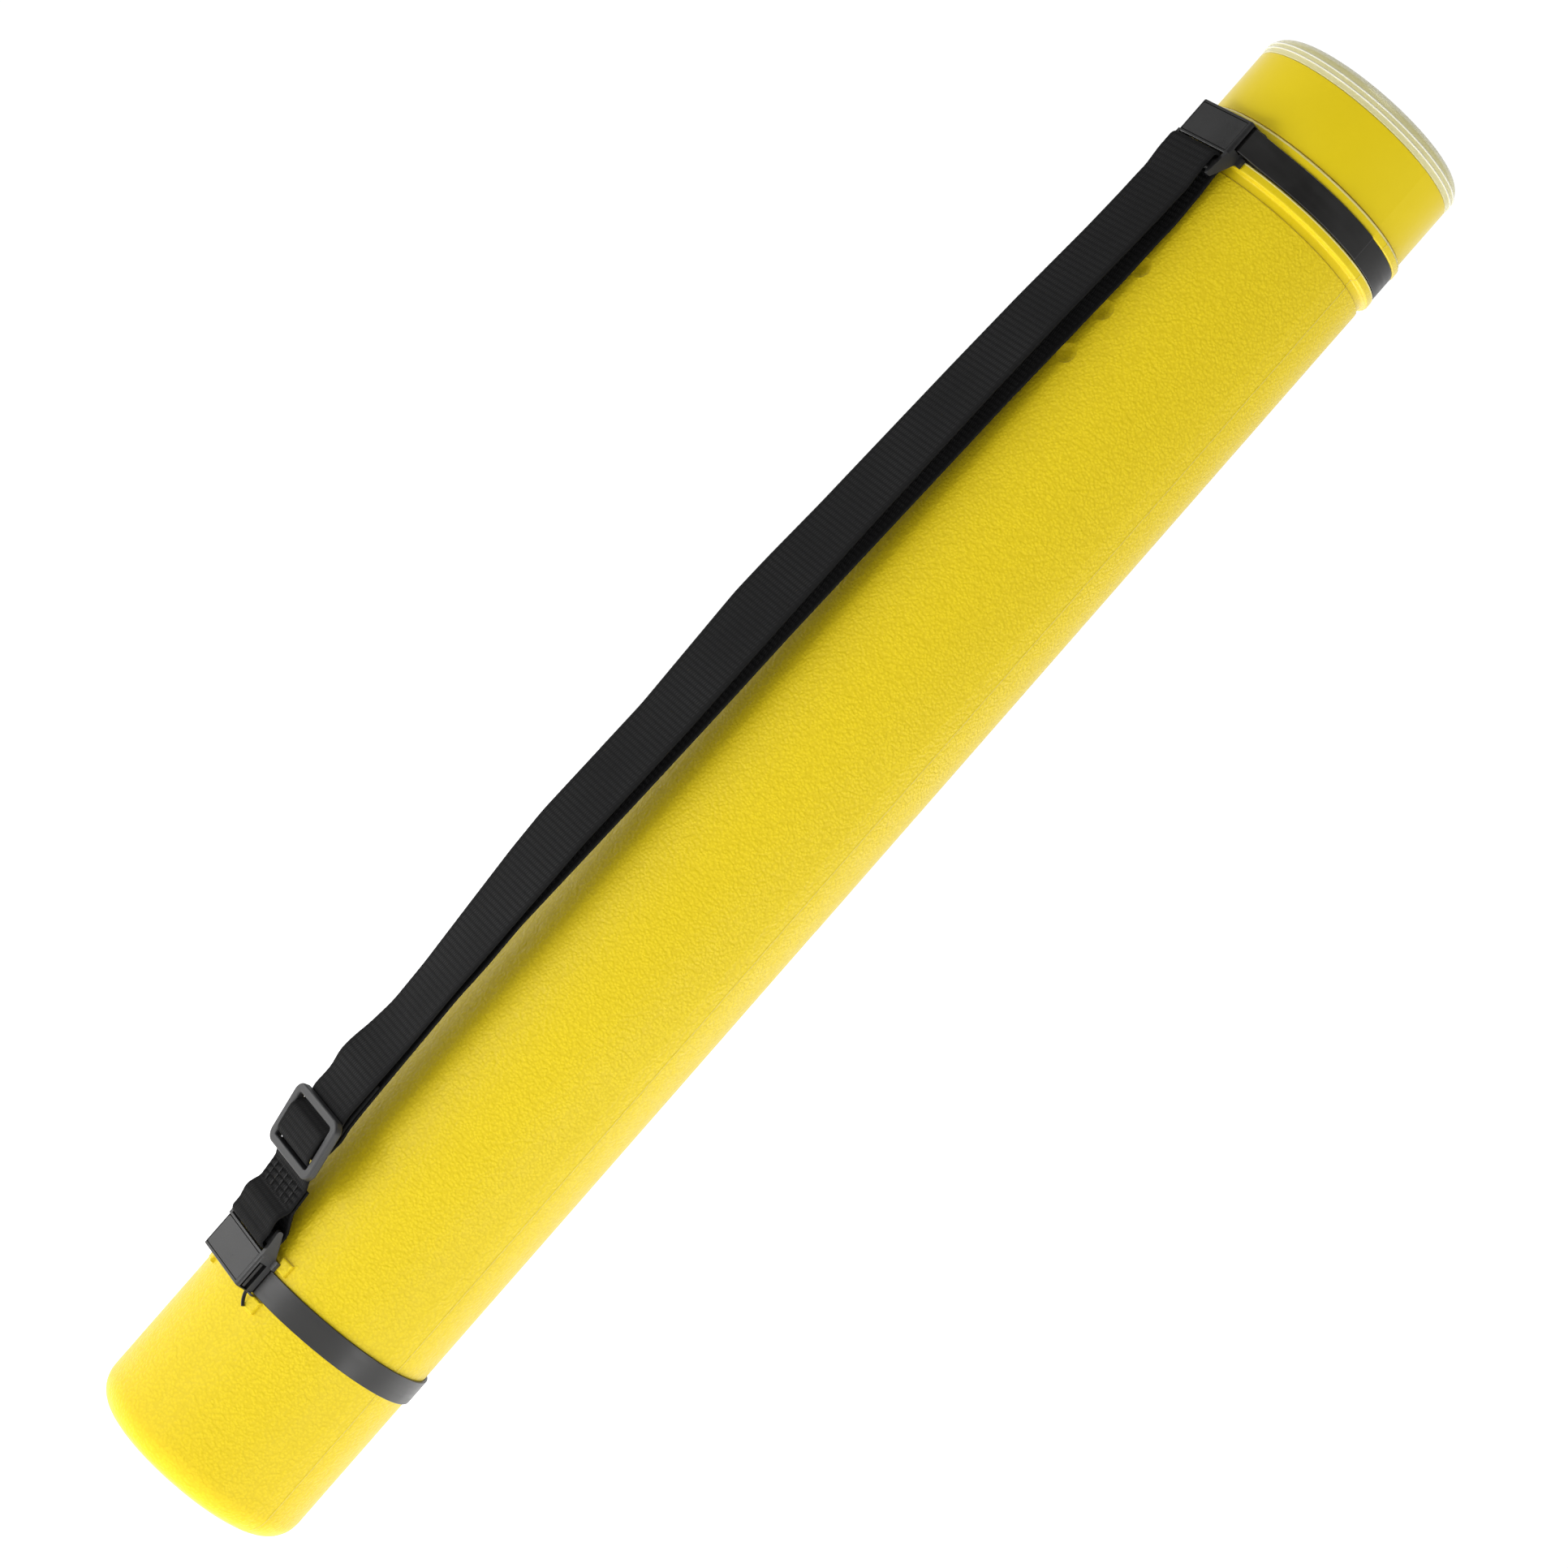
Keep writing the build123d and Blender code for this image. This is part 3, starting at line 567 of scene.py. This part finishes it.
def webbing_sections(columns):
    """Each cross-section's vertices and weave coordinates, its outer face first and then its inner one."""
    line, at = webbing_line(RIB_PITCH / RIB_SAMPLES)
    radius, z, twist = line.T
    slope = np.stack([np.gradient(radius), np.gradient(z)], 1)
    slope /= np.linalg.norm(slope, axis=1)[:, None]
    flat_side = np.array((1.0, 0.0, 0.0))
    vertices, weaves = [], []
    for k in range(len(z)):
        tangent = np.array((0.0, -slope[k, 0], slope[k, 1]))
        out = np.cross(tangent, flat_side)
        side = flat_side * math.cos(twist[k]) - out * math.sin(twist[k])
        face = np.cross(tangent, side)
        middle = np.array((0.0, -radius[k], z[k]))
        side *= 1 + SLOT_SPREAD * fade(z[k], *SLOT_REACH)
        for sign, shift in ((1, 0), (-1, RIB_PITCH / 2)):
            for across in columns:
                offset = sign * face_offset(across, at[k])
                vertices.append((middle + side * across + face * offset) * MM)
                weaves.append((across * MM, (at[k] + shift) * MM))
    return vertices, weaves


def webbing_faces(width, count):
    """The faces that join a number of cross-sections of this many columns, closed at both ends."""
    ring = 2 * width
    order = list(range(width)) + [ring - 1 - k for k in range(width)]
    faces = [tuple(reversed(order))]
    for k in range(count - 1):
        a, b = k * ring, (k + 1) * ring
        for here, there in zip(order, order[1:] + order[:1]):
            faces.append((a + here, a + there, b + there, b + here))
    faces.append(tuple((count - 1) * ring + k for k in order))
    return faces


def make_webbing(material):
    columns = [-across for across in reversed(HALF_COLUMNS[1:])] + list(HALF_COLUMNS)
    vertices, weaves = webbing_sections(columns)
    faces = webbing_faces(len(columns), len(vertices) // (2 * len(columns)))
    mesh = bpy.data.meshes.new("webbing")
    mesh.from_pydata([tuple(v) for v in vertices], [], faces)
    layer = mesh.uv_layers.new(name="weave")
    coordinates = np.array(weaves)[[loop.vertex_index for loop in mesh.loops]]
    layer.data.foreach_set("uv", coordinates.astype(np.float32).ravel())
    mesh.polygons.foreach_set("use_smooth", [True] * len(mesh.polygons))
    mesh.materials.append(material)
    webbing = bpy.data.objects.new("webbing", mesh)
    bpy.context.scene.collection.objects.link(webbing)
    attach(webbing, "outer")
    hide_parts("strap_webbing")


# Stage ----------------------------------------------------------------------------------------------------

FLOOR_REACH = 12.0
FLOOR_GREYS = (0.93, 0.96)
FLOOR_GLOW = ((0.15, 1.25), (1.0, 0.95))
AIM_HEIGHT = 0.3

# Softboxes: name, place (to the viewer's right, towards the viewer, up), size, and power in watts
SOFTBOXES = (
    ("left_softbox", (-1.05, -0.25, 0.12), (0.6, 0.6), 3.2),
    ("right_softbox", (1.05, -0.45, 0.12), (0.6, 0.6), 3.5),
    ("left_front_softbox", (-0.47, 0.43, 0.06), (0.3, 0.12), 1.1),
    ("right_front_softbox", (0.50, 0.38, 0.06), (0.3, 0.12), 1.15),
    ("top_softbox", (0.0, 0.22, 1.5), (0.4, 0.3), 2.2),
)

# The strength of the white surroundings as the camera sees them, and as light from each side
BACKGROUND = 1.05
LIGHT_FROM_FRONT = 0.11
LIGHT_FROM_BACK = 1.0
LIGHT_FROM_LEFT = 0.42
LIGHT_FROM_RIGHT = 0.55


def make_floor():
    """A pale floor whose glow is strongest round the tube's foot."""
    tree = Tree("pale_floor")
    cloud = tree.noise(tree.place(), 6.0, 3.0)
    greys = [colour(grey, grey, grey) for grey in FLOOR_GREYS]
    base = tree.mix(tree.span(cloud, 0.3, 0.7), *greys)
    far = tree.vector_math("LENGTH", {0: tree.place()}, "Value")
    (near_at, near_glow), (far_at, far_glow) = FLOOR_GLOW
    glow = tree.span(far, near_at, far_at, near_glow, far_glow)
    material = tree.finish(Base_Color=base, Roughness=0.9, Emission_Color=colour(1, 1, 1),
                           Emission_Strength=glow)
    mesh = bpy.data.meshes.new("floor")
    corners = [(x * FLOOR_REACH, y * FLOOR_REACH, 0) for x, y in ((-1, -1), (1, -1), (1, 1), (-1, 1))]
    mesh.from_pydata(corners, [], [(0, 1, 2, 3)])
    mesh.materials.append(material)
    floor = bpy.data.objects.new("floor", mesh)
    bpy.context.scene.collection.objects.link(floor)


def make_softbox(name, place, size, power):
    """A softbox aimed at the tube's middle."""
    right, towards = side_and_front(CAMERA_AZIMUTH)
    centre = right * place[0] + towards * place[1] + Vector((0, 0, place[2]))
    data = bpy.data.lights.new(name, "AREA")
    data.shape = "RECTANGLE"
    data.size, data.size_y = size
    data.energy = power
    light = bpy.data.objects.new(name, data)
    bpy.context.scene.collection.objects.link(light)
    aim = Vector((0, 0, AIM_HEIGHT)) - centre
    light.matrix_world = Matrix.Translation(centre) @ aim.to_track_quat("-Z", "Z").to_matrix().to_4x4()


def make_world():
    """A plain white background, whose light is weakest from the viewer's side."""
    world = bpy.data.worlds.new("studio")
    bpy.context.scene.world = world
    world.use_nodes = True
    nodes, links = world.node_tree.nodes, world.node_tree.links
    right, towards = side_and_front(CAMERA_AZIMUTH)

    def math_node(operation, a, b):
        node = nodes.new("ShaderNodeMath")
        node.operation = operation
        for socket, value in ((node.inputs[0], a), (node.inputs[1], b)):
            if isinstance(value, float):
                socket.default_value = value
            else:
                links.new(value, socket)
        return node.outputs[0]

    def extra_from(axis, strength):
        """The light that one side adds to the light from the front."""
        dot = nodes.new("ShaderNodeVectorMath")
        dot.operation = "DOT_PRODUCT"
        links.new(direction, dot.inputs[0])
        dot.inputs[1].default_value = axis
        share = math_node("POWER", math_node("MAXIMUM", dot.outputs["Value"], 0.0), 2.0)
        return math_node("MULTIPLY", share, strength - LIGHT_FROM_FRONT)

    direction = nodes.new("ShaderNodeTexCoord").outputs["Generated"]
    light = math_node("ADD", extra_from(-right, LIGHT_FROM_LEFT), LIGHT_FROM_FRONT)
    light = math_node("ADD", extra_from(right, LIGHT_FROM_RIGHT), light)
    light = math_node("ADD", extra_from(-towards, LIGHT_FROM_BACK), light)
    seen = nodes.new("ShaderNodeLightPath").outputs["Is Camera Ray"]
    extra = math_node("MULTIPLY", math_node("SUBTRACT", BACKGROUND, light), seen)
    shade = nodes["Background"]
    shade.inputs["Color"].default_value = (1, 1, 1, 1)
    links.new(math_node("ADD", light, extra), shade.inputs["Strength"])


# Scene ----------------------------------------------------------------------------------------------------

def paint_cad(webbing):
    """Give every CAD node its material."""
    band = dark_plastic("black_band_plastic", BAND_BLACKS, (0.32, 0.42), 900.0, 0.02 * MM)
    clip = dark_plastic("black_clip_plastic", CLIP_BLACKS, (0.28, 0.38), 1400.0, 0.04 * MM)
    slider = dark_plastic("grey_black_slider_plastic", SLIDER_GREYS, (0.40, 0.50), 1400.0, 0.05 * MM)
    thread = thread_material()
    paint = {
        "outer_tube": grained_yellow(),
        "inner_tube": smooth_yellow(),
        "cap": cap_plastic(),
        "upper_band": band,
        "lower_band": band,
        "upper_clip_body": clip,
        "lower_clip_body": clip,
        "upper_clip_pawl": clip,
        "lower_clip_pawl": clip,
        "slider": slider,
        "lower_stitching": thread,
        "slider_stitching": thread,
        "strap_webbing": webbing,
    }
    for name, material in paint.items():
        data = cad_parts[name].data
        data.materials.clear()
        data.materials.append(material)


make_camera()
make_world()
make_floor()
for softbox in SOFTBOXES:
    make_softbox(*softbox)
bpy.context.scene.view_settings.view_transform = "Standard"

webbing_look = webbing_material()
paint_cad(webbing_look)
make_webbing(webbing_look)
